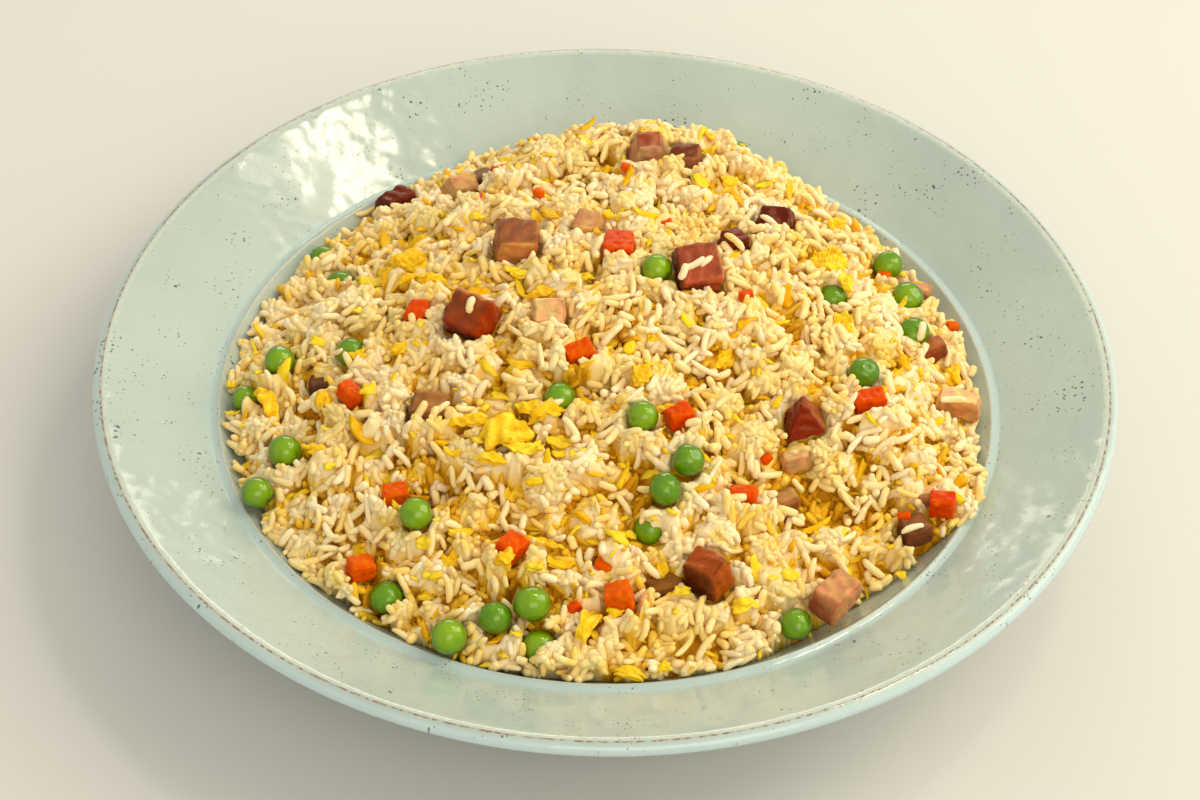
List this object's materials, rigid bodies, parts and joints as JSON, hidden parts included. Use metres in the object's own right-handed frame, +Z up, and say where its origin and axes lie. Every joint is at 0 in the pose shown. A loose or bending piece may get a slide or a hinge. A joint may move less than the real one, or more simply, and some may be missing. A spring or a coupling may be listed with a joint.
{
  "type": "fried rice plate",
  "caption": "Round wide-rimmed stoneware plate heaped with fried rice, with green peas, diced carrot, diced roast pork and scrambled egg.",
  "frame": {"origin": "centre of the foot ring's resting plane", "axes": "+Z up out of the plate; -Y towards the diner's side"},
  "size_m": [0.28, 0.28, 0.0663],
  "materials": {
    "glazed_stoneware": "glossy",
    "cooked_rice": "satin",
    "green_pea": "glossy",
    "carrot": "glossy",
    "roast_pork": "glossy",
    "scrambled_egg": "satin"
  },
  "bodies": {
    "root": {"plate": "glazed_stoneware", "fried_rice": "cooked_rice", "pea_01": "green_pea", "pea_02": "green_pea", "pea_03": "green_pea", "pea_04": "green_pea", "pea_05": "green_pea", "pea_06": "green_pea", "pea_07": "green_pea", "pea_08": "green_pea", "pea_09": "green_pea", "pea_10": "green_pea", "pea_11": "green_pea", "pea_12": "green_pea", "pea_13": "green_pea", "pea_14": "green_pea", "pea_15": "green_pea", "pea_16": "green_pea", "pea_17": "green_pea", "pea_18": "green_pea", "pea_19": "green_pea", "pea_20": "green_pea", "pea_21": "green_pea", "pea_22": "green_pea", "carrot_01": "carrot", "carrot_02": "carrot", "carrot_03": "carrot", "carrot_04": "carrot", "carrot_05": "carrot", "carrot_06": "carrot", "carrot_07": "carrot", "carrot_08": "carrot", "carrot_09": "carrot", "carrot_10": "carrot", "carrot_11": "carrot", "carrot_12": "carrot", "carrot_13": "carrot", "carrot_14": "carrot", "pork_01": "roast_pork", "pork_02": "roast_pork", "pork_03": "roast_pork", "pork_04": "roast_pork", "pork_05": "roast_pork", "pork_06": "roast_pork", "pork_07": "roast_pork", "pork_08": "roast_pork", "pork_09": "roast_pork", "pork_10": "roast_pork", "pork_11": "roast_pork", "pork_12": "roast_pork", "pork_13": "roast_pork", "pork_14": "roast_pork", "pork_15": "roast_pork", "pork_16": "roast_pork", "pork_17": "roast_pork", "pork_18": "roast_pork", "egg_01": "scrambled_egg", "egg_02": "scrambled_egg", "egg_03": "scrambled_egg", "egg_04": "scrambled_egg"}
  },
  "joints": []
}
